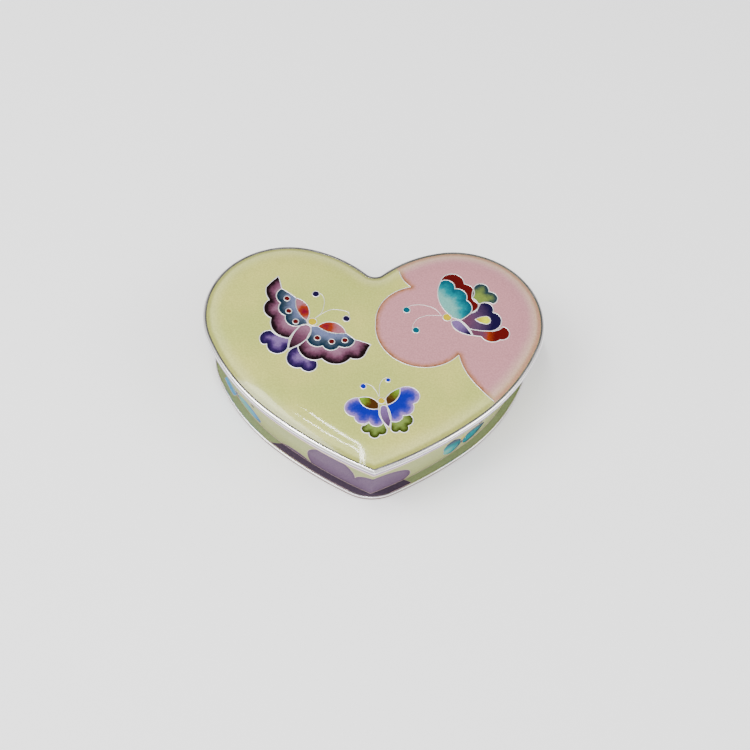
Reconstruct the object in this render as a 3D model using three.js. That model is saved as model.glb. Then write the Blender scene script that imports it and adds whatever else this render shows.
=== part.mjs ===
// Heart-shaped enamelled silver box with a lid that lifts off.
// Millimetres, +Z up. The box stands on its foot ring at z = 0. The heart's tip points to -Y and
// its notch to +Y. The origin is below the middle of the box.
import * as THREE from 'three';
import { mergeVertices } from 'three/addons/utils/BufferGeometryUtils.js';

// The plan is the edge of the lid's enamel. Its right half is a chain of tangent arcs, from the tip
// round the lobe to the notch. Every other outline is that one moved out (+) or in (-) by an offset.
const tipSlope = 24;
const lowerSide = { radius: 113.7, turn: 15.5, steps: 5 };
const upperSide = { radius: 55.6, turn: 28.4, steps: 4 };
const lobe = { radius: 21.7, turn: 125, steps: 14 };
const shoulder = { radius: 32.6, steps: 4 };
const notch = { radius: 3.8, steps: 3 };
const tipSteps = 2;

// Radii of the front corner at different heights of the box.
const sharpTip = 0.6;
const footTip = 12;

// Heights above the surface that the box stands on.
const undersideRecess = 0.8;
const footTop = 1.2;
const creaseHeight = 1.6;
const floorTop = 2.0;
const collarBottom = 16.2;
const wallTop = 17.05;
const seatHeight = 18.9;
const ledgeHeight = 19.9;
const enamelEdge = 20.7;

// The base, as offsets from the plan.
const wallTopOffset = 0;
const creaseOffset = -3.7;
const footOffset = -1.6;
const footRingInner = -5.6;
const footBeadWidth = 0.4;
const footBeadRound = 0.25;
const lipProud = 0.1;
const lipInner = -1.8;
const lipInnerBottom = 15.6;
const wallThickness = 1.7;
const floorCove = 0.9;
const baseEnamelThickness = 0.5;
const coveBed = 0.75;

// The lid, as offsets from the plan.
const rimWidth = 1.2;
const rimProud = 0.2;
const rimTurn = 0.35;
const rimSteps = 6;
const collarClearance = 0.3;
const collarThickness = 0.8;
const collarChamfer = 0.2;
const lidEnamelThickness = 0.8;
const lidPlateThickness = 0.9;
const ledgeWidth = 1.0;
const domeRise = 1.9;
const domeShoulder = 8;
const crownRise = 0.25;
const crownEdge = 13;
const domeSteps = [1.6, 2.8, 4.3, 6.1];

// The enamel and the silver under it are separate meshes, a hair apart.
const hairGap = 0.1;
const floorCapOffset = -9;

// Lays out the arcs of the right half. Each arc runs between two directions of its outward normal.
function layOutHeart() {
  const start = THREE.MathUtils.degToRad(tipSlope - 90);
  const arcs = [];
  let angle = start;
  let x = 0;
  let y = 0;
  for (const arc of [lowerSide, upperSide, lobe]) {
    const centreX = x - arc.radius * Math.cos(angle);
    const centreY = y - arc.radius * Math.sin(angle);
    const end = angle + THREE.MathUtils.degToRad(arc.turn);
    arcs.push({ centreX, centreY, radius: arc.radius, from: angle, to: end, steps: arc.steps });
    x = centreX + arc.radius * Math.cos(end);
    y = centreY + arc.radius * Math.sin(end);
    angle = end;
  }
  const centreX = x - shoulder.radius * Math.cos(angle);
  const centreY = y - shoulder.radius * Math.sin(angle);
  const reach = shoulder.radius + notch.radius;
  const end = Math.PI / 2 + Math.asin(centreX / reach);
  arcs.push({ centreX, centreY, radius: shoulder.radius, from: angle, to: end, steps: shoulder.steps });
  const notchY = centreY + reach * Math.sin(end);
  return { arcs, notchY, notchFrom: end };
}

const heart = layOutHeart();

// The fillet at the tip: its centre on the axis, and the direction where it meets the lower side.
function tipFillet(offset, tipRadius) {
  const side = heart.arcs[0];
  const reach = side.radius + offset - tipRadius;
  const centreY = side.centreY - Math.sqrt(reach * reach - side.centreX * side.centreX);
  const meets = Math.atan2(centreY - side.centreY, -side.centreX);
  return { centreY, meets };
}

// The box is centred on the outside of the lid's rim.
const rimTipFillet = tipFillet(rimWidth, sharpTip);
const rimFront = rimTipFillet.centreY - sharpTip;
const rimBack = heart.arcs[2].centreY + lobe.radius + rimWidth;
const middleY = (rimFront + rimBack) / 2;

// One closed outline, anticlockwise seen from above, from the tip round the right lobe.
function heartOutline(offset, tipRadius) {
  const half = [];
  const fillet = tipFillet(offset, tipRadius);
  for (let i = 0; i < tipSteps; i++) {
    const angle = THREE.MathUtils.lerp(-Math.PI / 2, fillet.meets, i / tipSteps);
    half.push([tipRadius * Math.cos(angle), fillet.centreY + tipRadius * Math.sin(angle)]);
  }
  heart.arcs.forEach((arc, index) => {
    const from = index === 0 ? fillet.meets : arc.from;
    const radius = arc.radius + offset;
    for (let i = 0; i < arc.steps; i++) {
      const angle = THREE.MathUtils.lerp(from, arc.to, i / arc.steps);
      half.push([arc.centreX + radius * Math.cos(angle), arc.centreY + radius * Math.sin(angle)]);
    }
  });
  const notchRadius = notch.radius - offset;
  for (let i = 0; i <= notch.steps; i++) {
    const angle = THREE.MathUtils.lerp(heart.notchFrom, Math.PI / 2, i / notch.steps);
    half.push([-notchRadius * Math.cos(angle), heart.notchY - notchRadius * Math.sin(angle)]);
  }
  half[0][0] = 0;
  half[half.length - 1][0] = 0;
  const mirrored = half.slice(1, -1).reverse().map(([x, y]) => [-x, y]);
  return half.concat(mirrored).map(([x, y]) => new THREE.Vector2(x, y - middleY));
}

function triangulateCap(ring) {
  const contour = ring.map(([x, y]) => new THREE.Vector2(x, y));
  return THREE.ShapeUtils.triangulateShape(contour, []);
}

// Sweeps a profile round the heart. The profile is a list of [offset, height, tip radius], which
// starts at a cap that faces up, runs over the outside and ends at a cap that faces down.
// A closed profile has no caps and makes a ring.
function sweep(profile, closed = false) {
  const rings = profile.map(([offset, height, tipRadius = sharpTip]) =>
    heartOutline(offset, tipRadius).map((point) => [point.x, point.y, height]));
  const count = rings[0].length;
  const positions = rings.flat(2);
  const indices = [];
  const bands = closed ? rings.length : rings.length - 1;
  for (let ring = 0; ring < bands; ring++) {
    const upper = ring * count;
    const lower = ((ring + 1) % rings.length) * count;
    for (let i = 0; i < count; i++) {
      const next = (i + 1) % count;
      indices.push(upper + i, lower + i, lower + next);
      indices.push(upper + i, lower + next, upper + next);
    }
  }
  if (!closed) {
    const last = (rings.length - 1) * count;
    for (const [a, b, c] of triangulateCap(rings[0])) indices.push(a, b, c);
    for (const [a, b, c] of triangulateCap(rings.at(-1))) indices.push(last + a, last + c, last + b);
  }
  const geometry = new THREE.BufferGeometry();
  geometry.setAttribute('position', new THREE.Float32BufferAttribute(positions, 3));
  geometry.setIndex(indices);
  const merged = mergeVertices(geometry);
  merged.computeVertexNormals();
  return merged;
}

// Height of the enamel's dome above its edge, a distance in from that edge.
function domeHeight(distance) {
  const fade = 1 - Math.min(distance / domeShoulder, 1);
  const crown = Math.max(distance - domeShoulder, 0) / (crownEdge - domeShoulder);
  return domeRise * (1 - fade * fade) + crownRise * crown;
}

const outwardSteps = [...domeSteps, domeShoulder, crownEdge];
const inwardSteps = outwardSteps.toReversed();

// A stretch of the dome as profile points, lowered by a depth.
function domeProfile(distances, depth) {
  return distances.map((distance) => [-distance, enamelEdge + domeHeight(distance) - depth]);
}

// Offset of the wall's enamelled face at a height.
function wallFace(height) {
  const down = (wallTop - height) / (wallTop - creaseHeight);
  return THREE.MathUtils.lerp(wallTopOffset, creaseOffset, down);
}

function makeBaseTray() {
  const inset = baseEnamelThickness + hairGap;
  const beadInner = footOffset - footBeadWidth;
  const cornerHeight = floorTop + floorCove;
  const cornerOffset = wallFace(cornerHeight) - wallThickness;
  return sweep([
    [floorCapOffset, floorTop],
    [cornerOffset - floorCove, floorTop],
    [cornerOffset, cornerHeight],
    [lipInner, lipInnerBottom],
    [lipInner, seatHeight],
    [wallTopOffset, seatHeight],
    [wallTopOffset + lipProud, seatHeight - lipProud],
    [wallTopOffset + lipProud, wallTop + lipProud],
    [wallTopOffset, wallTop],
    [wallTopOffset - inset, wallTop],
    [creaseOffset - inset, creaseHeight],
    [creaseOffset - inset, coveBed],
    [beadInner, coveBed, footTip],
    [beadInner, footTop - hairGap / 2, footTip],
    [footOffset - footBeadWidth / 2, footTop, footTip],
    [footOffset, footTop - footBeadRound, footTip],
    [footOffset, footBeadRound, footTip],
    [footOffset - footBeadRound, 0, footTip],
    [footRingInner, 0],
    [footRingInner, undersideRecess],
    [floorCapOffset, undersideRecess],
  ]);
}

function makeBaseEnamel() {
  const coveEnd = footOffset - footBeadWidth - hairGap;
  return sweep([
    [wallTopOffset, wallTop],
    [creaseOffset, creaseHeight],
    [coveEnd, footTop - hairGap, footTip],
    [coveEnd, coveBed, footTip],
    [creaseOffset - baseEnamelThickness, coveBed],
    [creaseOffset - baseEnamelThickness, creaseHeight],
    [wallTopOffset - baseEnamelThickness, wallTop],
  ], true);
}

// The polished rim is a half oval, from the enamel's edge down to the seat.
function rimProfile() {
  const highest = enamelEdge + rimProud;
  const middle = (highest + seatHeight) / 2;
  const points = [[0, enamelEdge + rimProud / 2]];
  for (let i = 0; i <= rimSteps; i++) {
    const angle = THREE.MathUtils.lerp(Math.PI / 2 - rimTurn, -Math.PI / 2 + rimTurn, i / rimSteps);
    points.push([rimWidth * Math.cos(angle), middle + (highest - middle) * Math.sin(angle)]);
  }
  points.push([rimWidth * Math.sin(rimTurn) * 0.5, seatHeight]);
  return points;
}

function makeLidShell() {
  const collarOuter = lipInner - collarClearance;
  const collarInner = collarOuter - collarThickness;
  const bed = lidEnamelThickness + hairGap;
  const below = bed + lidPlateThickness;
  return sweep([
    ...domeProfile([...inwardSteps, ledgeWidth], bed),
    [-ledgeWidth, ledgeHeight],
    [0, ledgeHeight],
    ...rimProfile(),
    [collarOuter, seatHeight],
    [collarOuter, collarBottom + collarChamfer],
    [collarOuter - collarChamfer, collarBottom],
    [collarInner, collarBottom],
    ...domeProfile([-collarInner, ...outwardSteps.filter((step) => step > -collarInner)], below),
  ]);
}

function makeLidEnamel() {
  const ledgeInner = ledgeWidth - hairGap;
  return sweep([
    ...domeProfile([...inwardSteps, domeSteps[0] / 2, hairGap], 0),
    [-hairGap, ledgeHeight],
    [-ledgeInner, ledgeHeight],
    ...domeProfile([ledgeInner, ...outwardSteps], lidEnamelThickness),
  ]);
}

function addPiece(group, name, geometry, colour, roughness, metalness) {
  const material = new THREE.MeshStandardMaterial({ color: colour, roughness, metalness });
  const mesh = new THREE.Mesh(geometry, material);
  mesh.name = name;
  group.add(mesh);
}

const box = new THREE.Group();
addPiece(box, 'base_tray', makeBaseTray(), 0xd9d6d2, 0.2, 1);
addPiece(box, 'base_enamel', makeBaseEnamel(), 0xa8a680, 0.2, 0);
addPiece(box, 'lid_shell', makeLidShell(), 0xdedbd8, 0.18, 1);
addPiece(box, 'lid_enamel', makeLidEnamel(), 0xc7c499, 0.15, 0);

export default box;
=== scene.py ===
import math

import bmesh
import bpy
from mathutils import Matrix, Vector, noise


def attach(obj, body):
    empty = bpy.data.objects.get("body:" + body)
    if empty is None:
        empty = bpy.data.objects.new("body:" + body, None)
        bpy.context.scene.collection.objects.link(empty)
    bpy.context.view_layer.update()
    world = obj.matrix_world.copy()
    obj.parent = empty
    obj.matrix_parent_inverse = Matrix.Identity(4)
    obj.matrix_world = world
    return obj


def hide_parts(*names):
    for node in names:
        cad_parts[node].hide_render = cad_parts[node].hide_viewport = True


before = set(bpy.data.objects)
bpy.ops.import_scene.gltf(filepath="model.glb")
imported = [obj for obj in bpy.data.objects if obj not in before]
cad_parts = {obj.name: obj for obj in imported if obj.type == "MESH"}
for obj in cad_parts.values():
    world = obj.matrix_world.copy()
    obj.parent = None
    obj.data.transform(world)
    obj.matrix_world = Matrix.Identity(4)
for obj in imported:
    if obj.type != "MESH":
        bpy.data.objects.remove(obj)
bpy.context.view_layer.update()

# Sizes below are in millimetres and degrees. Meshes are scaled to metres when they are finished.
mm = 0.001


# The heart's plan.

heart = {
    "tipSlope": 24,
    "sides": [(113.7, 15.5, 20), (55.6, 28.4, 18), (21.7, 125, 52)],
    "shoulderRadius": 32.6,
    "shoulderSteps": 12,
    "notchRadius": 3.8,
    "notchSteps": 10,
    "tipSteps": 8,
    "middle": 33.964,
    "sharpTip": 0.6,
    "footTip": 12,
}


# Arcs of the right half, from the tip round the lobe, as (centre x, centre y, radius, from, to, steps).
def layOutHeart():
    arcs = []
    angle = math.radians(heart["tipSlope"] - 90)
    x = y = 0.0
    for radius, turn, steps in heart["sides"]:
        centreX, centreY = x - radius * math.cos(angle), y - radius * math.sin(angle)
        end = angle + math.radians(turn)
        arcs.append((centreX, centreY, radius, angle, end, steps))
        x, y = centreX + radius * math.cos(end), centreY + radius * math.sin(end)
        angle = end
    radius = heart["shoulderRadius"]
    centreX, centreY = x - radius * math.cos(angle), y - radius * math.sin(angle)
    reach = radius + heart["notchRadius"]
    end = math.pi / 2 + math.asin(centreX / reach)
    arcs.append((centreX, centreY, radius, angle, end, heart["shoulderSteps"]))
    return arcs, centreY + reach * math.sin(end)


arcs, notchY = layOutHeart()
notchFrom = arcs[-1][4]


# One closed outline, anticlockwise from the tip. Every offset has the same stations.
def outline(offset, tip):
    centreX, centreY, radius = arcs[0][:3]
    reach = radius + offset - tip
    filletY = centreY - math.sqrt(reach * reach - centreX * centreX)
    meets = math.atan2(filletY - centreY, -centreX)
    half = []
    for i in range(heart["tipSteps"]):
        angle = -math.pi / 2 + (meets + math.pi / 2) * i / heart["tipSteps"]
        half.append((tip * math.cos(angle), filletY + tip * math.sin(angle)))
    for index, (x, y, radius, start, end, steps) in enumerate(arcs):
        start = meets if index == 0 else start
        for i in range(steps):
            angle = start + (end - start) * i / steps
            half.append((x + (radius + offset) * math.cos(angle), y + (radius + offset) * math.sin(angle)))
    radius = heart["notchRadius"] - offset
    for i in range(heart["notchSteps"] + 1):
        angle = notchFrom + (math.pi / 2 - notchFrom) * i / heart["notchSteps"]
        half.append((-radius * math.cos(angle), notchY - radius * math.sin(angle)))
    half[0] = (0.0, half[0][1])
    half[-1] = (0.0, half[-1][1])
    return [(x, y - heart["middle"]) for x, y in half + [(-x, y) for x, y in half[-2:0:-1]]]


# Distance in from the plan to the right half's arcs, or only to those of its side and lobe.
def halfDistance(x, y, sideOnly):
    y += heart["middle"]
    nearest = 1e9
    for centreX, centreY, radius, start, end, steps in arcs[:3] if sideOnly else arcs:
        angle = math.atan2(y - centreY, x - centreX)
        angle = min(max(angle, start), end)
        edgeX, edgeY = centreX + radius * math.cos(angle), centreY + radius * math.sin(angle)
        nearest = min(nearest, math.hypot(x - edgeX, y - edgeY))
    if not sideOnly:
        angle = math.atan2(y - notchY, x)
        angle = min(max(angle, -math.pi / 2), notchFrom - math.pi)
        edgeX, edgeY = heart["notchRadius"] * math.cos(angle), notchY + heart["notchRadius"] * math.sin(angle)
        nearest = min(nearest, math.hypot(x - edgeX, y - edgeY))
    return nearest


def rimDistance(x, y):
    return halfDistance(abs(x), y, False)


dome = {"edge": 20.7, "rise": 1.9, "shoulder": 8.0, "crown": 0.08, "crownEdge": 13.0}


# Height of the enamelled top over the table. Both sides' shoulders count, so that the front has no ridge.
def domeHeight(x, y):
    near = halfDistance(abs(x), y, False)
    far = halfDistance(-abs(x), y, True)
    share = 1.0
    for distance in (near, far):
        share *= 1 - (1 - min(distance / dome["shoulder"], 1)) ** 2
    crown = min(max(near - dome["shoulder"], 0) / (dome["crownEdge"] - dome["shoulder"]), 1)
    return dome["edge"] + dome["rise"] * share + dome["crown"] * crown


# Building meshes.

# Rounds the corners of a profile of (offset, height, tip radius, corner radius).
def soften(points, steps=4):
    result = []
    for index, (offset, height, tip, radius) in enumerate(points):
        if radius == 0:
            result.append((offset, height, tip))
            continue
        corner = Vector((offset, height))
        before = Vector(points[index - 1][:2]) - corner
        after = Vector(points[(index + 1) % len(points)][:2]) - corner
        reach = min(radius / math.tan(before.angle(after) / 2), before.length * 0.48, after.length * 0.48)
        start, end = corner + before.normalized() * reach, corner + after.normalized() * reach
        for step in range(steps + 1):
            part = step / steps
            place = start.lerp(corner, part).lerp(corner.lerp(end, part), part)
            result.append((place.x, place.y, tip))
    return result


def finishMesh(name, bm):
    bmesh.ops.recalc_face_normals(bm, faces=bm.faces)
    for face in bm.faces:
        face.smooth = True
    bmesh.ops.scale(bm, vec=(mm, mm, mm), verts=bm.verts)
    mesh = bpy.data.meshes.new(name)
    bm.to_mesh(mesh)
    bm.free()
    piece = bpy.data.objects.new(name, mesh)
    bpy.context.scene.collection.objects.link(piece)
    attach(piece, "root")
    return piece


# Sweeps levels of (offset, height, tip radius) round the heart. A height may be a function of x and y.
def sweepHeart(levels, closed=False):
    bm = bmesh.new()
    station = bm.verts.layers.int.new("station")
    if closed:
        levels = levels + levels[:1]
    for row, (offset, height, tip) in enumerate(levels):
        places = outline(offset, tip)
        if row == 0:
            fresh = [bm.verts.new((x, y, 0)) for x, y in places]
            for number, vert in enumerate(fresh):
                vert[station] = number
            ring = [bm.edges.new((fresh[i - 1], fresh[i])) for i in range(len(fresh))]
            firstRing = ring
        else:
            made = bmesh.ops.extrude_edge_only(bm, edges=ring)["geom"]
            fresh = [part for part in made if isinstance(part, bmesh.types.BMVert)]
            ring = [part for part in made if isinstance(part, bmesh.types.BMEdge)]
        for vert in fresh:
            x, y = places[vert[station]]
            vert.co = (x, y, height(x, y) if callable(height) else height)
    if closed:
        bmesh.ops.remove_doubles(bm, verts=bm.verts, dist=1e-4)
    else:
        bmesh.ops.contextual_create(bm, geom=firstRing)
        bmesh.ops.contextual_create(bm, geom=ring)
    return bm


# Edges that turn by more than this angle are shaded sharp.
def sharpen(piece, degrees):
    bm = bmesh.new()
    bm.from_mesh(piece.data)
    for edge in bm.edges:
        if len(edge.link_faces) == 2 and edge.calc_face_angle(0) > math.radians(degrees):
            edge.smooth = False
    bm.to_mesh(piece.data)
    bm.free()


# Points along a chain of arcs, closed or open. Each point is (x, y, bulge), and a bulge of 1 is a half circle
# to the right of the way to the next point. Gives the points and the number of the arc each is on.
def arcChain(points, step, closed=True):
    path, owners = [], []
    last = len(points) if closed else len(points) - 1
    for index in range(last):
        x0, y0, bulge = points[index]
        x1, y1 = points[(index + 1) % len(points)][:2]
        chord = math.hypot(x1 - x0, y1 - y0)
        turn = 4 * math.atan(bulge)
        curved = abs(bulge) > 0.01
        radius = chord / 2 / math.sin(turn / 2) if curved else 0
        length = abs(radius * turn) if curved else chord
        count = max(2, round(length / step))
        middle = Vector(((x0 + x1) / 2, (y0 + y1) / 2))
        centre = middle + Vector((y0 - y1, x1 - x0)) / chord * radius * math.cos(turn / 2)
        start = math.atan2(y0 - centre.y, x0 - centre.x)
        for i in range(count):
            if curved:
                angle = start + turn * i / count
                reach = abs(radius)
                path.append((centre.x + reach * math.cos(angle), centre.y + reach * math.sin(angle)))
            else:
                path.append((x0 + (x1 - x0) * i / count, y0 + (y1 - y0) * i / count))
            owners.append(index)
    if not closed:
        path.append(points[-1][:2])
        owners.append(last)
    return path, owners


def linear(colour):
    return tuple(((c + 0.055) / 1.055) ** 2.4 if c > 0.04045 else c / 12.92 for c in colour)


def blendTints(tints, distance):
    stops = [(reach, linear(enamels[name])) for reach, name in tints]
    if distance <= stops[0][0]:
        return stops[0][1]
    for (near, first), (far, second) in zip(stops, stops[1:]):
        if distance <= far:
            share = (distance - near) / (far - near)
            return tuple(a + (b - a) * share for a, b in zip(first, second))
    return stops[-1][1]


# How unevenly the tints of a cell run into each other: a broad waver and a fine one.
mottle = {"broadScale": 1.3, "broadDepth": 0.5, "broadLayer": 3.7, "fineScale": 4.1, "fineDepth": 0.35,
          "fineLayer": 9.2}


def waver(x, y):
    broad, fine = mottle["broadScale"], mottle["fineScale"]
    rough = noise.noise(Vector((x * broad, y * broad, mottle["broadLayer"]))) * mottle["broadDepth"]
    return rough + noise.noise(Vector((x * fine, y * fine, mottle["fineLayer"]))) * mottle["fineDepth"]


# Fills cells of enamel on a surface. Each cell has an outline of arcs, tints at distances from some
# of its arcs or from a point, and a lift. cutsAcross and cutsUp are the grid lines in both directions.
def fillCells(name, cells, place, cutsAcross, cutsUp, step=0.3):
    whole = bmesh.new()
    whole.verts.layers.float_color.new("tint")
    whole.verts.layers.float.new("inward")
    gathered = bpy.data.meshes.new(name)
    for cell in cells:
        bm = bmesh.new()
        tint = bm.verts.layers.float_color.new("tint")
        inward = bm.verts.layers.float.new("inward")
        path, owners = arcChain(cell["outline"], step)
        face = bm.faces.new([bm.verts.new((x, y, 0)) for x, y in path])
        face.normal_update()
        bmesh.ops.triangulate(bm, faces=[face])
        xs, ys = [x for x, y in path], [y for x, y in path]
        for direction, cuts, low, high in (
            ((1, 0, 0), cutsAcross, min(xs), max(xs)),
            ((0, 1, 0), cutsUp, min(ys), max(ys)),
        ):
            for cut in cuts:
                if low < cut < high:
                    everything = bm.verts[:] + bm.edges[:] + bm.faces[:]
                    at = Vector(direction) * cut
                    bmesh.ops.bisect_plane(bm, geom=everything, plane_co=at, plane_no=direction, dist=1e-4)
        if "around" in cell:
            sources = [cell["around"]]
        else:
            wanted = cell.get("edges", range(len(cell["outline"])))
            sources = [point for point, owner in zip(path, owners) if owner in wanted]
        for vert in bm.verts:
            x, y = vert.co.x, vert.co.y
            distance = min(math.hypot(x - sx, y - sy) for sx, sy in sources)
            colour = blendTints(cell["tints"], distance + waver(x, y) * cell.get("spread", 1.0))
            vert[tint] = (*colour, 1)
            vert[inward] = rimDistance(x, y)
        for vert in bm.verts:
            vert.co = place(vert.co.x, vert.co.y, cell.get("lift", 0.02))
        bm.to_mesh(gathered)
        bm.free()
        whole.from_mesh(gathered)
    bpy.data.meshes.remove(gathered)
    return whole


# Lays round wires along lines of points. Each line is (points, closed, radius).
def layWires(name, lines):
    curve = bpy.data.curves.new(name, "CURVE")
    curve.dimensions = "3D"
    curve.bevel_depth = 1
    curve.bevel_resolution = 2
    curve.use_fill_caps = True
    for points, closed, radius in lines:
        spline = curve.splines.new("POLY")
        spline.points.add(len(points) - 1)
        for knot, point in zip(spline.points, points):
            knot.co = (*point, 1)
            knot.radius = radius
        spline.use_cyclic_u = closed
    holder = bpy.data.objects.new(name + "Line", curve)
    bpy.context.scene.collection.objects.link(holder)
    solid = bpy.data.meshes.new_from_object(holder.evaluated_get(bpy.context.evaluated_depsgraph_get()))
    bpy.data.objects.remove(holder)
    bpy.data.curves.remove(curve)
    bm = bmesh.new()
    bm.from_mesh(solid)
    bpy.data.meshes.remove(solid)
    return finishMesh(name, bm)


# Enamel colours, as sRGB. Most were fitted to the photo under this scene's light.

enamels = {
    "plum": (0.07, 0.015, 0.035),
    "mauve": (0.348, 0.199, 0.276),
    "mauvePale": (0.50, 0.345, 0.425),
    "deepTeal": (0.045, 0.14, 0.201),
    "slate": (0.194, 0.24, 0.294),
    "blueGrey": (0.364, 0.396, 0.523),
    "crimson": (0.409, 0.026, 0.132),
    "orange": (0.516, 0.181, 0.047),
    "rosePale": (0.554, 0.353, 0.4),
    "indigo": (0.066, 0.026, 0.19),
    "violet": (0.182, 0.104, 0.301),
    "lilac": (0.426, 0.333, 0.521),
    "brown": (0.292, 0.026, 0.026),
    "yellow": (0.7, 0.615, 0.026),
    "yellowPale": (0.802, 0.811, 0.026),
    "cobalt": (0.026, 0.078, 0.555),
    "blueLilac": (0.21, 0.204, 0.576),
    "lilacGrey": (0.54, 0.429, 0.661),
    "leafGreen": (0.412, 0.538, 0.156),
    "bark": (0.245, 0.137, 0.026),
    "moss": (0.171, 0.207, 0.026),
    "mossPale": (0.413, 0.492, 0.226),
    "teal": (0.026, 0.3, 0.36),
    "turquoise": (0.026, 0.463, 0.497),
    "aqua": (0.393, 0.63, 0.595),
    "rust": (0.322, 0.026, 0.026),
    "slateGreen": (0.105, 0.185, 0.22),
    "limePale": (0.413, 0.482, 0.206),
    "purpleGrey": (0.287, 0.205, 0.308),
    "pink": (0.694, 0.482, 0.504),
    "pinkStain": (0.628, 0.417, 0.337),
    "stain": (0.472, 0.307, 0.183),
    "cloudPurple": (0.397, 0.327, 0.411),
    "cloudPurpleEdge": (0.356, 0.289, 0.368),
    # Painted shade: the cove's purple is the cloud's purple made darker.
    "covePurpleShaded": (0.27, 0.225, 0.278),
    "skyBlue": (0.322, 0.556, 0.713),
    "skyBlueDeep": (0.248, 0.376, 0.545),
}


def disc(x, y, radius, tints, lift=0.04):
    return {
        "outline": [(x - radius, y, 1), (x + radius, y, 1)],
        "around": (x, y),
        "tints": tints,
        "lift": lift,
        "spread": 0.2,
    }


# Butterflies on the lid: a large one upper left, a small one in front, a side view on the pink.
# Their points are millimetres on the lid and were placed from the photo.

largeButterfly = [
    {
        "outline": [(-25.5, 23.2, 0.05), (-28.5, 19.6, 0.22), (-27.6, 15.4, 0.57), (-26.9, 9.5, 0.48),
                    (-22.0, 3.3, -0.05), (-20.3, 6.1, -0.05), (-19.2, 7.4, -0.64), (-23.2, 10.4, -0.52),
                    (-24.6, 14.5, -0.55), (-24.5, 19.1, 0.04)],
        "edges": (0, 1, 2, 3),
        "tints": [(0.8, "plum"), (2.0, "mauve"), (3.5, "mauvePale")],
    },
    {
        "outline": [(-24.5, 19.1, 0.55), (-24.6, 14.5, 0.52), (-23.2, 10.4, 0.64), (-19.2, 7.4, 0.12),
                    (-17.4, 8.0, 0.0), (-17.7, 9.1, -0.29), (-20.6, 16.2, 0.05)],
        "edges": (0, 1, 2),
        "tints": [(0.5, "deepTeal"), (1.6, "slate"), (3.2, "blueGrey")],
    },
    {
        "outline": [(-20.6, 16.2, 0.29), (-17.7, 9.1, 0.51)],
        "around": (-18.3, 11.9),
        "tints": [(0.3, "crimson"), (1.5, "orange"), (2.6, "rosePale")],
    },
    {
        "outline": [(-1.0, 2.0, 0.06), (-5.1, 3.4, -0.56), (-9.2, 1.2, -0.65), (-13.4, 1.2, -0.53),
                    (-17.5, 3.2, 0.0), (-19.7, 0.8, 0.55), (-13.5, -2.8, 0.5), (-6.2, -2.4, 0.46),
                    (-2.3, -0.8, -0.04)],
        "edges": (5, 6, 7, 8),
        "tints": [(0.8, "plum"), (2.0, "mauve"), (3.5, "mauvePale")],
    },
    {
        "outline": [(-5.1, 3.4, 0.03), (-7.5, 5.4, -0.25), (-14.8, 7.3, 0.0), (-16.4, 7.3, 0.0),
                    (-16.6, 5.5, 0.04), (-17.5, 3.2, 0.53), (-13.4, 1.2, 0.65), (-9.2, 1.2, 0.56)],
        "edges": (5, 6, 7),
        "tints": [(0.5, "deepTeal"), (1.6, "slate"), (3.2, "blueGrey")],
    },
    {
        "outline": [(-14.8, 7.3, 0.25), (-7.5, 5.4, 0.64)],
        "around": (-12.6, 7.3),
        "tints": [(0.3, "crimson"), (1.6, "orange"), (3.2, "rosePale")],
    },
    {
        "outline": [(-22.1, -0.1, 0.13), (-17.5, 3.2, 0.25), (-16.6, 7.0, 0.43), (-19.2, 7.4, 0.17)],
        "around": (-22.1, -0.1),
        "tints": [(1.0, "plum"), (5.0, "mauve"), (8.0, "mauvePale")],
    },
    {
        "outline": [(-26.7, 5.5, 0.67), (-29.2, 1.6, 0.42), (-27.7, 1.3, 0.9), (-22.3, 0.3, 0.0),
                    (-22.0, 3.3, -0.23)],
        "edges": (0, 1, 2),
        "tints": [(0.4, "indigo"), (1.3, "violet"), (2.6, "lilac")],
    },
    {
        "outline": [(-19.7, 0.8, 0.35), (-22.5, -2.3, 0.56), (-18.8, -5.8, 1.05), (-15.0, -3.5, -0.39)],
        "edges": (0, 1, 2),
        "tints": [(0.4, "indigo"), (1.3, "violet"), (2.6, "lilac")],
    },
]
for x, y in ((-23.0, 15.9), (-22.4, 11.9), (-20.5, 8.6), (-14.8, 3.6), (-11.1, 2.6), (-7.7, 3.1)):
    largeButterfly.append(disc(x, y, 0.78, [(0, "brown")]))
largeButterfly.append(disc(-16.2, 8.7, 1.15, [(0, "yellow")]))
largeButterfly.append(disc(-15.5, 17.7, 0.92, [(0, "indigo")]))
largeButterfly.append(disc(-7.4, 10.0, 0.92, [(0, "indigo")]))

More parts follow.
